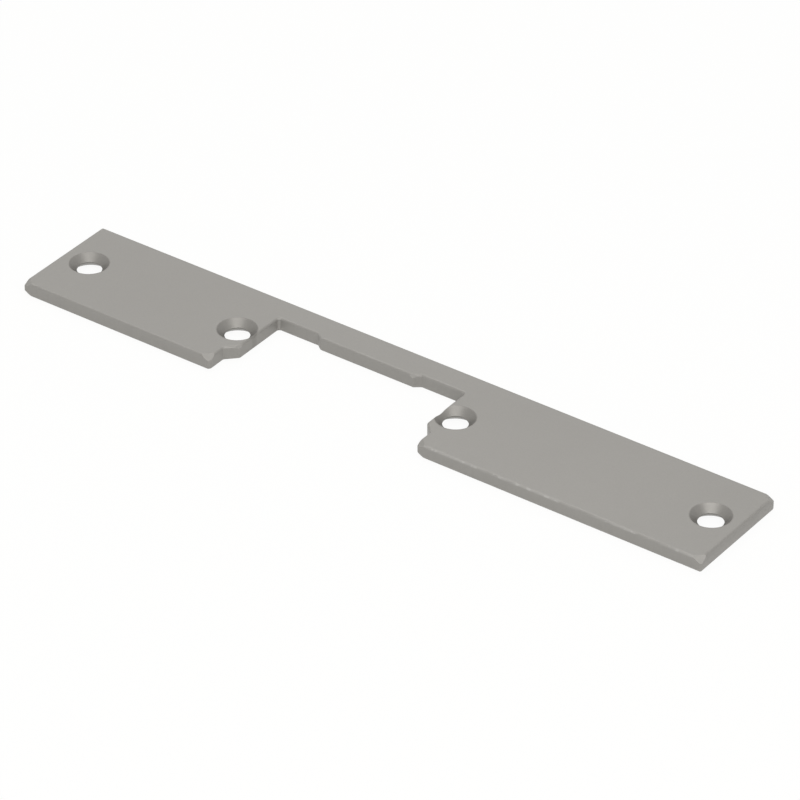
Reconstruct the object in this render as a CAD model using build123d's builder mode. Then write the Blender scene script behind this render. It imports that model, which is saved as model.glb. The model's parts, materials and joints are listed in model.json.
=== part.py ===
"""A flat strike faceplate: one steel strip with a wide notch and four screw holes sunk from both faces."""
import os

from build123d import *

# Sizes are in millimetres. The strip lies flat with its length along X and its notch open to -Y.
# The origin is at the middle of the underside, where the strip rests on the door frame.

# strip
LENGTH = 160.0
WIDTH = 25.0
THICKNESS = 3.0
END_CORNER_R = 0.5

# notch for the strike's keeper, cut in from the front edge and set off towards the left end
NOTCH_SHIFT = -8.9
NOTCH_WIDTH = 44.65
NOTCH_DEPTH = 19.2
MOUTH_DEPTH = 4.5
MOUTH_FLARE = 2.3
MOUTH_CORNER_R = 0.8
SHOULDER_R = 1.0
INNER_CORNER_R = 0.6

# raised land in the middle of the notch's back wall, over the strike's body
STRIKE_SHIFT = -9.25
LAND_WIDTH = 22.3
LAND_RISE = 1.0
LAND_SLOPE = 1.3

# screw holes, each countersunk in both faces with a narrow land left between
SCREW_HOLE_D = 5.1
SINK_D = 8.1
SINK_ANGLE = 95
FIXING_MARGIN = 6.3
FIXING_ROW = 0.45
STRIKE_MARGIN = 3.8
STRIKE_ROW = -1.2

# edges of both faces, rounded by tumbling
EDGE_R = 0.5

# small facets where outward corners of the faces were knocked off slantwise
SQUARE_FACET_LEG = 2.2
SQUARE_FACET_DEPTH = 1.2
BLUNT_FACET_LEG = 1.4
BLUNT_FACET_DEPTH = 0.8

front = -WIDTH / 2
notch_back = front + NOTCH_DEPTH
land_front = notch_back - LAND_RISE
shoulder = front + MOUTH_DEPTH + MOUTH_FLARE
left_wall = NOTCH_SHIFT - NOTCH_WIDTH / 2
right_wall = NOTCH_SHIFT + NOTCH_WIDTH / 2
land_left = STRIKE_SHIFT - LAND_WIDTH / 2
land_right = STRIKE_SHIFT + LAND_WIDTH / 2
strike_reach = NOTCH_WIDTH / 2 + STRIKE_MARGIN

mouth_corners = [
    (left_wall - MOUTH_FLARE, front),
    (right_wall + MOUTH_FLARE, front),
]
flare_corners = [
    (left_wall - MOUTH_FLARE, front + MOUTH_DEPTH),
    (right_wall + MOUTH_FLARE, front + MOUTH_DEPTH),
]
shoulders = [
    (left_wall, shoulder),
    (right_wall, shoulder),
]
back_corners = [
    (left_wall, notch_back),
    (right_wall, notch_back),
]
land_corners = [
    (land_left - LAND_SLOPE, notch_back),
    (land_left, land_front),
    (land_right, land_front),
    (land_right + LAND_SLOPE, notch_back),
]
strip_corners = [
    (-LENGTH / 2, front),
    (LENGTH / 2, front),
    (LENGTH / 2, WIDTH / 2),
    (-LENGTH / 2, WIDTH / 2),
]
notch_outline = [
    mouth_corners[0],
    flare_corners[0],
    shoulders[0],
    back_corners[0],
    *land_corners,
    back_corners[1],
    shoulders[1],
    flare_corners[1],
    mouth_corners[1],
]
outline = [
    strip_corners[0],
    *notch_outline,
    *strip_corners[1:],
]
knocked_square = mouth_corners + strip_corners[:3]
knocked_blunt = [shoulders[0], land_corners[2]]
knocked_below = [strip_corners[0], mouth_corners[1]]

fixing_holes = [
    (FIXING_MARGIN - LENGTH / 2, FIXING_ROW),
    (LENGTH / 2 - FIXING_MARGIN, FIXING_ROW),
]
strike_holes = [
    (STRIKE_SHIFT - strike_reach, STRIKE_ROW),
    (STRIKE_SHIFT + strike_reach, STRIKE_ROW),
]


def at(corners, vertices):
    """The sketch vertices that stand on the named corners."""
    places = [Vector(*corner) for corner in corners]
    return [v for v in vertices if min((v.center() - place).length for place in places) < 1e-4]


def knock_off(corner, leg, depth, height=THICKNESS, inward=-1):
    """Cuts a face's corner off slantwise: a leg along each edge, and a depth down the corner."""
    peak = Vector(*corner, height)
    foot = peak + Vector(0, 0, inward * depth)
    i = outline.index(corner)
    back = Vector(*outline[i - 1], height) - peak
    ahead = Vector(*outline[(i + 1) % len(outline)], height) - peak
    before = peak + back.normalized() * leg
    after = peak + ahead.normalized() * leg
    across = after - before
    outward = (foot - before).cross(across) * -inward
    reach = 2 * (leg + depth)
    above = (Align.CENTER, Align.CENTER, Align.MIN)
    with Locations(Plane(foot, x_dir=across, z_dir=outward)):
        Box(across.length, reach, leg, align=above, mode=Mode.SUBTRACT)


with BuildPart() as faceplate:
    with BuildSketch() as blank:
        with BuildLine():
            Polyline(*outline, close=True)
        make_face()
        fillet(at(strip_corners, blank.vertices()), END_CORNER_R)
        fillet(at(mouth_corners, blank.vertices()), MOUTH_CORNER_R)
        fillet(at(shoulders, blank.vertices()), SHOULDER_R)
        fillet(at(flare_corners + back_corners + land_corners, blank.vertices()), INNER_CORNER_R)
    extrude(amount=THICKNESS)
    for face in faceplate.faces().filter_by(Plane.XY):
        fillet(face.edges(), EDGE_R)

    for corner in knocked_square:
        knock_off(corner, SQUARE_FACET_LEG, SQUARE_FACET_DEPTH)
    for corner in knocked_blunt:
        knock_off(corner, BLUNT_FACET_LEG, BLUNT_FACET_DEPTH)
    for corner in knocked_below:
        knock_off(corner, SQUARE_FACET_LEG, SQUARE_FACET_DEPTH, height=0, inward=1)

    # both faces are sunk alike, so the strip can be turned over for a door of the other hand
    from_shown_face = [Location((x, y, THICKNESS)) for x, y in fixing_holes + strike_holes]
    from_underside = [Location((x, y, 0), (180, 0, 0)) for x, y in fixing_holes + strike_holes]
    with Locations(*from_shown_face, *from_underside):
        CounterSinkHole(SCREW_HOLE_D / 2, SINK_D / 2, counter_sink_angle=SINK_ANGLE)

faceplate.part.label = "faceplate"

os.makedirs("parts", exist_ok=True)
export_step(faceplate.part, "parts/faceplate.step")
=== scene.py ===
"""Door strike faceplate in satin lacquer, on a pale studio floor.

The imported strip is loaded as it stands. One operator finishes it, and one lays the floor, hangs the lamps and
aims the camera. Lengths are in metres, and patterns in the lacquer are in millimetres of the strip itself.
"""
import json
from math import cos, radians, sin

import bpy
from bpy.props import FloatProperty, FloatVectorProperty, PointerProperty
from mathutils import Matrix, Vector


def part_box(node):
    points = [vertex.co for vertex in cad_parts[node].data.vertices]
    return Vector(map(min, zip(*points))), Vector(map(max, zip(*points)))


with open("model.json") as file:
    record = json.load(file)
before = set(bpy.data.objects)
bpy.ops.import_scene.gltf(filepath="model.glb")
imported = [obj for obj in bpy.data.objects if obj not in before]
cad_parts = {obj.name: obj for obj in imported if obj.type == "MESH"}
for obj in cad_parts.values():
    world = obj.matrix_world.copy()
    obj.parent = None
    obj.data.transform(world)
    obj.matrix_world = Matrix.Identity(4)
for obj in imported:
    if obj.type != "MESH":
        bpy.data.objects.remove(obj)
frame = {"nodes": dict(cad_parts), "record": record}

bl_info = {
    "name": "Strike Faceplate",
    "version": (1, 0, 0),
    "blender": (4, 5, 0),
    "location": "3D View > Sidebar > Strike Faceplate",
    "description": "Finishes a door strike faceplate in satin lacquer and lays a pale studio round it",
    "category": "Material",
}

STRIP = "faceplate"
SLOT = "lacquered_steel"
MM = 1000.0
LOWEST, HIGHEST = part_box(STRIP)
THICKNESS = HIGHEST.z - LOWEST.z

# The strip's faces, rounded edges, sunk seats, right end and longer block, in millimetres.
FRONT = LOWEST.y * MM
RIGHT_END = HIGHEST.x * MM
TOP = HIGHEST.z * MM
EDGE_ROUND = 0.5
EDGE_BLUR = 0.4
SEAT_RADIUS = 4.05
SEAT_BLUR = 0.25
END_DEPTH = 1.0
LONG_BLOCK = (4.0, 16.0)

# Walls and rounded edges go by how far the normal points up, 0 on a wall and 1 on a face. Slanting facets go
# by how far it points endways times how far it points sideways. Each mask sets in between its two values.
WALL_TILT = (0.02, 0.2)
ROUNDING_FROM = (0.05, 0.45)
ROUNDING_UP_TO = (0.80, 0.99)
SLANT_TILT = (0.06, 0.16)

# Lumps in the lacquer, in millimetres, and the noise levels between which wear and nicks set in.
DRIFT_SIZE = 34.0
SWELL_SIZE = 4.5
RIPPLE_SIZE = 1.1
FLAKE_SIZE = 0.22
STREAK_SIZE = 0.35
STREAK_STRETCH = 0.12
WEAR_SIZE = 9.0
WEAR_LEVELS = (0.36, 0.62)
NICK_SIZE = 1.3
NICK_LEVELS = (0.58, 0.66)
NIB_SPACING = 7.0
NIB_LEVELS = (0.010, 0.022)

# Share by which the lacquer has thinned at nicks, and share of painted highlight on the slanting facets.
NICK_THINNING = 0.5
SLANT_PAINTED_HIGHLIGHT = 0.15

# Shares by which the patterns lighten or darken its colour at random.
DRIFT_LIGHT = 0.05
FLAKE_LIGHT = 0.10
NIB_LIGHT = 0.10
STREAK_LIGHT = 0.06
# Painted shade on the rounded edges and in the sunk seats, and on the right end wall painted shade at its top
# and painted light at its foot.
EDGE_PAINTED_SHADE = 0.03
SEAT_PAINTED_SHADE = 0.17
END_FOOT_PAINTED_LIGHT = 0.09
END_TOP_PAINTED_SHADE = 0.04

# What they add to its roughness.
SWELL_ROUGHNESS = 0.10
FLAKE_ROUGHNESS = 0.12
WALL_ROUGHNESS = 0.05
EDGE_ROUGHNESS = 0.08

# Heights in the lacquer, in millimetres, and the shares of the peel that its ripple and swell take.
STREAK_HEIGHT = 0.010
NIB_HEIGHT = 0.010
FLAKE_HEIGHT = 0.0012
RIPPLE_SHARE = 0.6
SWELL_SHARE = 1.6
LACQUER_IOR = 1.45

# The studio, in metres. Lamps stand at an azimuth and an elevation in degrees.
FLOOR_REACH = 6.0
SHADOW_REACH = 0.35
LAMP_DISTANCE = 0.9
LAMP_HEIGHT = 0.5
FRONT_LAMP_WIDTH = 1.0
BACK_LAMP_WIDTH = 0.5
FRONT_HIGH = (36, 60)
FRONT_LOW = (40, 40)
BACK = (-130, 60)

# The camera: its sensor in millimetres, its nearest sight in metres, and the strip's middle in pixels.
SENSOR = 36.0
NEAREST = 0.01
PICTURE_WIDTH = 800
MIDDLE_ACROSS = 387.493
MIDDLE_DOWN = 391.989


def screw_holes(record):
    """Where the record's screw mounts put their holes, in the plane of the strip."""
    holes = []
    for mount in record["mounts"]:
        if mount["kind"] == "bolt_pattern":
            half = mount["dims"]["spacing_x_mm"] / MM / 2
            x, y = mount["pos_m"][:2]
            holes += [(x - half, y), (x + half, y)]
    return holes


HOLES = screw_holes(frame["record"])


# Shader maths


class Nodes:
    """A material's or world's node tree, emptied, with one way to add a node."""

    def __init__(self, tree):
        self.tree = tree
        tree.nodes.clear()

    def add(self, kind, inputs=None, **settings):
        """Adds a node: its settings first, then the values or links of its sockets, by name or number."""
        node = self.tree.nodes.new(kind)
        for name, value in settings.items():
            setattr(node, name, value)
        for key, value in (inputs or {}).items():
            self.feed(node.inputs[key], value)
        return node

    def feed(self, socket, value):
        """Links a wire to the socket, or sets its value."""
        if isinstance(value, Wire):
            self.tree.links.new(value.socket, socket)
        else:
            socket.default_value = value

    def wire(self, kind, inputs=None, output=0, **settings):
        """The same as add, giving one of the node's outputs, ready for sums."""
        return Wire(self, self.add(kind, inputs, **settings).outputs[output])


class Wire:
    """A socket that takes part in Python sums. Each sum adds its Math node."""

    def __init__(self, nodes, socket):
        self.nodes = nodes
        self.socket = socket

    def maths(self, operation, *values):
        return self.nodes.wire("ShaderNodeMath", dict(enumerate(values)), operation=operation)

    def __add__(self, other):
        return self.maths("ADD", self, other)

    def __radd__(self, other):
        return self.maths("ADD", other, self)

    def __sub__(self, other):
        return self.maths("SUBTRACT", self, other)

    def __rsub__(self, other):
        return self.maths("SUBTRACT", other, self)

    def __mul__(self, other):
        return self.maths("MULTIPLY", self, other)

    def __rmul__(self, other):
        return self.maths("MULTIPLY", other, self)

    def __abs__(self):
        return self.maths("ABSOLUTE", self)

    def least(self, other):
        return self.maths("MINIMUM", self, other)

    def most(self, other):
        return self.maths("MAXIMUM", self, other)

    def step(self, low, high):
        """0 below low and 1 above high, with a smooth ramp between."""
        return self.nodes.wire(
            "ShaderNodeMapRange",
            {"Value": self, "From Min": low, "From Max": high},
            interpolation_type="SMOOTHSTEP",
        )


def separate(nodes, vector):
    """The X, Y and Z of a vector, as wires."""
    parts = nodes.add("ShaderNodeSeparateXYZ", {0: vector})
    return [Wire(nodes, parts.outputs[axis]) for axis in "XYZ"]


def noise(nodes, place, size, detail=2.0, roughness=0.5):
    """Smooth noise about 0.5, with lumps of that size in millimetres."""
    return nodes.wire(
        "ShaderNodeTexNoise",
        {"Vector": place, "Scale": 1 / size, "Detail": detail, "Roughness": roughness},
    )


# The lacquer


class FaceplateFinish(bpy.types.PropertyGroup):
    """The sizes and colours of the lacquer."""

    lacquer: FloatVectorProperty(
        name="Lacquer",
        description="Colour of the warm grey lacquer",
        subtype="COLOR",
        size=3,
        min=0.0,
        max=1.0,
        default=(0.298, 0.287, 0.268),
    )
    # Also the colour of the painted highlight on the slanting facets and along the longer block's front edge.
    wear_and_highlight_lacquer: FloatVectorProperty(
        name="Thin lacquer",
        description="Colour where the lacquer has worn thin over the steel",
        subtype="COLOR",
        size=3,
        min=0.0,
        max=1.0,
        default=(0.420, 0.408, 0.388),
    )
    roughness: FloatProperty(
        name="Roughness",
        description="How far the satin lacquer spreads a reflection",
        subtype="FACTOR",
        min=0.0,
        max=1.0,
        default=0.44,
    )
    metal: FloatProperty(
        name="Metal",
        description="Share of the metal flake in the lacquer's shine",
        subtype="FACTOR",
        min=0.0,
        max=1.0,
        default=0.30,
    )
    seat_metal: FloatProperty(
        name="Metal in the seats",
        description="What the sunk seats of the screws add to that, with thin lacquer over turned steel",
        subtype="FACTOR",
        min=0.0,
        max=0.7,
        default=0.50,
    )
    peel_height: FloatProperty(
        name="Peel height",
        description="Height of the shallow ripple that sprayed lacquer dries with",
        subtype="DISTANCE",
        unit="LENGTH",
        min=0.0,
        default=0.000006,
    )
    # Partly wear and partly a painted highlight along the longer block's front edge.
    edge_wear_and_highlight: FloatProperty(
        name="Edge thinning",
        description="How much of the lacquer has worn from the front edge of the longer block",
        subtype="FACTOR",
        min=0.0,
        max=1.0,
        default=0.50,
    )


def screw_seats(nodes, place):
    """1 in the sunk seats of the screws, 0 elsewhere."""
    nearest = None
    for x, y in HOLES:
        hole = (x * MM, y * MM, 0.0)
        apart = nodes.wire("ShaderNodeVectorMath", {0: place, 1: hole}, operation="SUBTRACT")
        flat = nodes.wire("ShaderNodeVectorMath", {0: apart, 1: (1.0, 1.0, 0.0)}, operation="MULTIPLY")
        reach = nodes.wire("ShaderNodeVectorMath", {0: flat}, output="Value", operation="LENGTH")
        nearest = reach if nearest is None else nearest.least(reach)
    return 1 - nearest.step(SEAT_RADIUS, SEAT_RADIUS + SEAT_BLUR)


def strip_places(nodes, place, normal):
    """Where on the strip a point is: masks for its walls, seats, edges, facets, front edge and end wall."""
    across, along, high = separate(nodes, place)
    endways, sideways, upward = (abs(part) for part in separate(nodes, normal))
    seat = screw_seats(nodes, place)
    wall = 1 - upward.step(*WALL_TILT)
    rounding = upward.step(*ROUNDING_FROM) * (1 - upward.step(*ROUNDING_UP_TO)) * (1 - seat)
    slant = (sideways * endways).step(*SLANT_TILT) * rounding
    at_front = 1 - along.step(FRONT + EDGE_ROUND, FRONT + EDGE_ROUND + EDGE_BLUR)
    front_edge = (rounding - slant) * at_front * across.step(*LONG_BLOCK)
    end_wall = wall * across.step(RIGHT_END - END_DEPTH, RIGHT_END - END_DEPTH / 10)
    end_height = high.step(EDGE_BLUR, TOP - EDGE_BLUR)
    return wall, seat, rounding, slant, front_edge, end_wall, end_height


def lacquer_material(finish):
    """Satin lacquer with fine flake, shallow peel and dust nibs.

    It is streaked on cut walls, and worn thin along the longer block's front edge, which also gets a painted
    highlight.
    The slanting facets get a painted highlight. The rounded edges and the sunk seats get painted shade, and the
    right end wall gets painted shade at its top and painted light at its foot. More of the steel shows in the
    seats of the screws.
    """
    material = bpy.data.materials.new(SLOT)
    material.use_nodes = True
    nodes = Nodes(material.node_tree)
    here = nodes.add("ShaderNodeTexCoord")
    metres = Wire(nodes, here.outputs["Object"])
    place = nodes.wire("ShaderNodeVectorMath", {0: metres, "Scale": MM}, operation="SCALE")
    normal = Wire(nodes, here.outputs["Normal"])
    wall, seat, rounding, slant, front_edge, end_wall, end_height = strip_places(nodes, place, normal)

    # patterns in the lacquer
    drift = noise(nodes, place, DRIFT_SIZE, detail=1.0) - 0.5
    flake = noise(nodes, place, FLAKE_SIZE, detail=0.0) - 0.5
    ripple = noise(nodes, place, RIPPLE_SIZE)
    swell = noise(nodes, place, SWELL_SIZE, detail=1.0)
    drawn = nodes.wire("ShaderNodeMapping", {"Vector": place, "Scale": (1.0, 1.0, STREAK_STRETCH)})
    streak = noise(nodes, drawn, STREAK_SIZE)
    worn = noise(nodes, place, WEAR_SIZE, roughness=0.6).step(*WEAR_LEVELS)
    nick = noise(nodes, place, NICK_SIZE, detail=1.0).step(*NICK_LEVELS)
    dust = {"Vector": place, "Scale": 1 / NIB_SPACING}
    nib = 1 - nodes.wire("ShaderNodeTexVoronoi", dust, output="Distance").step(*NIB_LEVELS)

    # colour
    # Painted highlight on the slanting facets; wear and a painted highlight along the longer block's front
    # edge.
    thin = front_edge * (worn * finish.edge_wear_and_highlight + nick * NICK_THINNING) + slant * SLANT_PAINTED_HIGHLIGHT
    tint = nodes.wire(
        "ShaderNodeMix",
        {"Factor": thin, "A": (*finish.lacquer, 1.0), "B": (*finish.wear_and_highlight_lacquer, 1.0)},
        output=2,
        data_type="RGBA",
    )
    # Painted shade on the rounded edges and in the sunk seats, and painted shade at the top of the right end
    # wall with painted light at its foot.
    end_painted_shading = end_height * (END_TOP_PAINTED_SHADE + END_FOOT_PAINTED_LIGHT) - END_FOOT_PAINTED_LIGHT
    shade = (rounding - slant - front_edge) * EDGE_PAINTED_SHADE + seat * SEAT_PAINTED_SHADE + end_wall * end_painted_shading
    sheen = drift * DRIFT_LIGHT + flake * FLAKE_LIGHT + nib * NIB_LIGHT
    value = 1 + sheen - wall * (streak - 0.5) * STREAK_LIGHT - shade
    colour = nodes.wire("ShaderNodeVectorMath", {0: tint, "Scale": value}, operation="SCALE")

    # shine
    uneven = (swell - 0.5) * SWELL_ROUGHNESS + flake * FLAKE_ROUGHNESS
    rough = finish.roughness + uneven + wall * WALL_ROUGHNESS + rounding * EDGE_ROUGHNESS
    metal = finish.metal + seat * finish.seat_metal

    # relief
    peel = (ripple * RIPPLE_SHARE + swell * SWELL_SHARE) * (finish.peel_height * MM)
    height = peel + wall * streak * STREAK_HEIGHT + nib * NIB_HEIGHT + flake * FLAKE_HEIGHT
    bump = nodes.wire(
        "ShaderNodeBump",
        {"Height": height, "Strength": 1.0, "Distance": 1 / MM},
        output="Normal",
    )

    shader = nodes.wire(
        "ShaderNodeBsdfPrincipled",
        {"Base Color": colour, "Roughness": rough, "Metallic": metal, "IOR": LACQUER_IOR, "Normal": bump},
    )
    nodes.add("ShaderNodeOutputMaterial", {"Surface": shader})
    return material


class FACEPLATE_OT_finish(bpy.types.Operator):
    """Gives the strip its satin lacquer"""

    bl_idname = "faceplate.finish"
    bl_label = "Finish Faceplate"
    bl_options = {"REGISTER", "UNDO"}

    def execute(self, context):
        strip = frame["nodes"][STRIP]
        lacquer = lacquer_material(context.scene.faceplate_finish)
        for slot in strip.material_slots:
            slot.material = lacquer
        return {"FINISHED"}


# The studio


class FaceplateStudio(bpy.types.PropertyGroup):
    """The floor, the lamps and the camera."""

    floor: FloatVectorProperty(
        name="Floor",
        description="Colour of the floor and of everything beyond it",
        subtype="COLOR",
        size=3,
        min=0.0,
        max=1.0,
        default=(1.000, 1.000, 0.995),
    )
    floor_glow: FloatProperty(
        name="Floor glow",
        description="Share of the floor's white that the camera sees whatever the shadow",
        subtype="FACTOR",
        min=0.0,
        max=1.0,
        default=0.93,
    )
    fill: FloatProperty(
        name="Fill",
        description="Strength of the even light from all round",
        min=0.0,
        default=0.48,
    )
    front_high: FloatProperty(
        name="High front lamp",
        description="Power of the soft lamp above the camera",
        subtype="POWER",
        unit="POWER",
        min=0.0,
        default=1.3,
    )
    front_low: FloatProperty(
        name="Low front lamp",
        description="Power of the soft lamp beside the camera",
        subtype="POWER",
        unit="POWER",
        min=0.0,
        default=2.9,
    )
    back: FloatProperty(
        name="Back lamp",
        description="Power of the soft lamp behind the strip, to its left",
        subtype="POWER",
        unit="POWER",
        min=0.0,
        default=1.6,
    )
    azimuth: FloatProperty(
        name="Camera azimuth",
        description="How far round to the right of the strip's front the camera stands",
        subtype="ANGLE",
        unit="ROTATION",
        default=radians(36.007),
    )
    elevation: FloatProperty(
        name="Camera elevation",
        description="How far above the floor's level the camera looks down from",
        subtype="ANGLE",
        unit="ROTATION",
        default=radians(34.018),
    )
    distance: FloatProperty(
        name="Camera distance",
        description="From the camera to the middle of the strip",
        subtype="DISTANCE",
        unit="LENGTH",
        min=0.1,
        default=0.98456,
    )
    lens: FloatProperty(
        name="Lens",
        description="Focal length of the camera, in millimetres on a sensor 36 mm wide",
        subtype="DISTANCE_CAMERA",
        min=1.0,
        default=230.91,
    )
    off_right: FloatProperty(
        name="Off to the right",
        description="How far right of the picture's middle the strip's middle lies, as a share of its width",
        default=MIDDLE_ACROSS / PICTURE_WIDTH - 0.5,
    )
    off_down: FloatProperty(
        name="Off downwards",
        description="How far below the picture's middle the strip's middle lies, as a share of its width",
        default=MIDDLE_DOWN / PICTURE_WIDTH - 0.5,
    )


def towards(azimuth, elevation):
    """The direction to something that stands there, with azimuth 0 in front and 90 degrees to the right."""
    return Vector((sin(azimuth) * cos(elevation), -cos(azimuth) * cos(elevation), sin(elevation)))


def show_backdrop(nodes):
    """1 for rays that see the backdrop itself, 0 for those that only bring its light."""
    path = nodes.add("ShaderNodeLightPath")
    camera, glossy, through = (
        Wire(nodes, path.outputs[name]) for name in ("Is Camera Ray", "Is Glossy Ray", "Is Transmission Ray")
    )
    return camera.most(glossy).most(through)


def floor_material(studio):
    """Pale floor. The camera sees part of its white as glow, so the shadow on it stays light."""
    material = bpy.data.materials.new("studio_floor")
    material.use_nodes = True
    nodes = Nodes(material.node_tree)
    place = nodes.wire("ShaderNodeTexCoord", output="Object")
    away = nodes.wire("ShaderNodeVectorMath", {0: place}, output="Value", operation="LENGTH")
    far = away.step(SHADOW_REACH / 2, SHADOW_REACH)
    glow = show_backdrop(nodes) * (far + studio.floor_glow * (1 - far))
    paint = nodes.wire("ShaderNodeBsdfDiffuse", {"Color": (*studio.floor, 1.0)})
    white = nodes.wire("ShaderNodeEmission", {"Color": (*studio.floor, 1.0), "Strength": 1.0})
    surface = nodes.wire("ShaderNodeMixShader", {0: glow, 1: paint, 2: white})
    nodes.add("ShaderNodeOutputMaterial", {"Surface": surface})
    return material


def lay_floor(studio):
    """A level floor at the strip's underside, with its white reaching out past the picture."""
    mesh = bpy.data.meshes.new("studio_floor")
    r = FLOOR_REACH
    mesh.from_pydata([(-r, -r, 0), (r, -r, 0), (r, r, 0), (-r, r, 0)], [], [(0, 1, 2, 3)])
    mesh.materials.append(floor_material(studio))
    floor = bpy.data.objects.new("studio_floor", mesh)
    bpy.context.scene.collection.objects.link(floor)


def hang_lamp(name, stand, power, width):
    """A soft lamp that points at the strip, level from side to side."""
    lamp = bpy.data.lights.new(name, "AREA")
    lamp.shape = "RECTANGLE"
    lamp.size = width
    lamp.size_y = LAMP_HEIGHT
    lamp.energy = power
    holder = bpy.data.objects.new(name, lamp)
    azimuth, elevation = stand
    direction = towards(radians(azimuth), radians(elevation))
    holder.location = direction * LAMP_DISTANCE
    holder.rotation_euler = direction.to_track_quat("Z", "Y").to_euler()
    bpy.context.scene.collection.objects.link(holder)


def fill_world(studio):
    """Even light from all round, seen as the backdrop's own white."""
    world = bpy.data.worlds.new("studio")
    world.use_nodes = True
    bpy.context.scene.world = world
    nodes = Nodes(world.node_tree)
    strength = studio.fill + show_backdrop(nodes) * (1 - studio.fill)
    light = nodes.wire("ShaderNodeBackground", {"Color": (*studio.floor, 1.0), "Strength": strength})
    nodes.add("ShaderNodeOutputWorld", {"Surface": light})


def aim_camera(studio):
    """Stands the camera where the photograph was taken from."""
    data = bpy.data.cameras.new("camera")
    data.sensor_fit = "HORIZONTAL"
    data.sensor_width = SENSOR
    data.lens = studio.lens
    data.clip_start = NEAREST
    camera = bpy.data.objects.new("camera", data)
    back = towards(studio.azimuth, studio.elevation)
    right = Vector((cos(studio.azimuth), sin(studio.azimuth), 0.0))
    up = back.cross(right)
    middle = Vector((0.0, 0.0, THICKNESS / 2))
    width = studio.distance * SENSOR / studio.lens
    shift = up * (width * studio.off_down) - right * (width * studio.off_right)
    where = middle + back * studio.distance + shift
    turn = Matrix((right, up, back)).transposed().to_4x4()
    camera.matrix_world = Matrix.Translation(where) @ turn
    bpy.context.scene.collection.objects.link(camera)
    bpy.context.scene.camera = camera


class FACEPLATE_OT_studio(bpy.types.Operator):
    """Lays the floor, hangs the lamps and aims the camera"""

    bl_idname = "faceplate.studio"
    bl_label = "Lay Studio"
    bl_options = {"REGISTER", "UNDO"}

    def execute(self, context):
        studio = context.scene.faceplate_studio
        lay_floor(studio)
        hang_lamp("front_high_lamp", FRONT_HIGH, studio.front_high, FRONT_LAMP_WIDTH)
        hang_lamp("front_low_lamp", FRONT_LOW, studio.front_low, FRONT_LAMP_WIDTH)
        hang_lamp("back_lamp", BACK, studio.back, BACK_LAMP_WIDTH)
        fill_world(studio)
        aim_camera(studio)
        context.scene.view_settings.view_transform = "Standard"
        return {"FINISHED"}


class FACEPLATE_PT_panel(bpy.types.Panel):
    """Lists the finish and the studio"""

    bl_idname = "FACEPLATE_PT_panel"
    bl_label = "Strike Faceplate"
    bl_space_type = "VIEW_3D"
    bl_region_type = "UI"
    bl_category = "Strike Faceplate"

    def draw(self, context):
        groups = (
            (context.scene.faceplate_finish, "faceplate.finish"),
            (context.scene.faceplate_studio, "faceplate.studio"),
        )
        for group, operator in groups:
            box = self.layout.box()
            for name in group.__annotations__:
                box.prop(group, name)
            box.operator(operator)


CLASSES = (FaceplateFinish, FaceplateStudio, FACEPLATE_OT_finish, FACEPLATE_OT_studio, FACEPLATE_PT_panel)


def register():
    for cls in CLASSES:
        bpy.utils.register_class(cls)
    bpy.types.Scene.faceplate_finish = PointerProperty(type=FaceplateFinish)
    bpy.types.Scene.faceplate_studio = PointerProperty(type=FaceplateStudio)


def unregister():
    del bpy.types.Scene.faceplate_studio
    del bpy.types.Scene.faceplate_finish
    for cls in reversed(CLASSES):
        bpy.utils.unregister_class(cls)


def main():
    """Finishes the strip and lays the studio."""
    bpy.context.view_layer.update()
    register()
    bpy.ops.faceplate.finish()
    bpy.ops.faceplate.studio()


if __name__ == "__main__":
    main()
